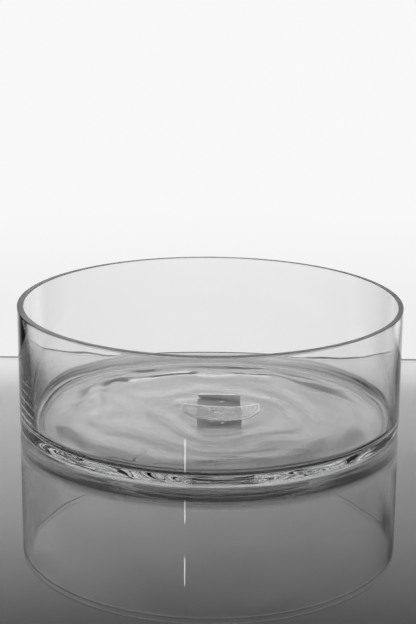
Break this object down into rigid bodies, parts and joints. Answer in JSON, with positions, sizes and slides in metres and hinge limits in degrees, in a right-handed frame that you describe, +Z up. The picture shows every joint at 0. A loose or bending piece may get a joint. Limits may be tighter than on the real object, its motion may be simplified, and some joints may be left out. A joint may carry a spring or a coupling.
{
  "type": "crystallizing dish",
  "caption": "Wide shallow clear glass dish with straight walls, a heavy rounded floor and a flat ground rim, for growing crystals from solution.",
  "frame": {"origin": "on the dish's axis, in the table plane that the foot ring rests on", "axes": "+Z up along the dish's axis, +Y towards the back, where the label sits off centre, +X to the right"},
  "size_m": [0.3, 0.3, 0.099],
  "materials": {
    "clear_glass": "clear, polished, hot-formed, with faint ripples in the floor and a flat ground rim",
    "label_stock": "matt blank label stock"
  },
  "bodies": {
    "root": {"glass_dish": "clear_glass", "base_label": "label_stock"}
  },
  "joints": []
}
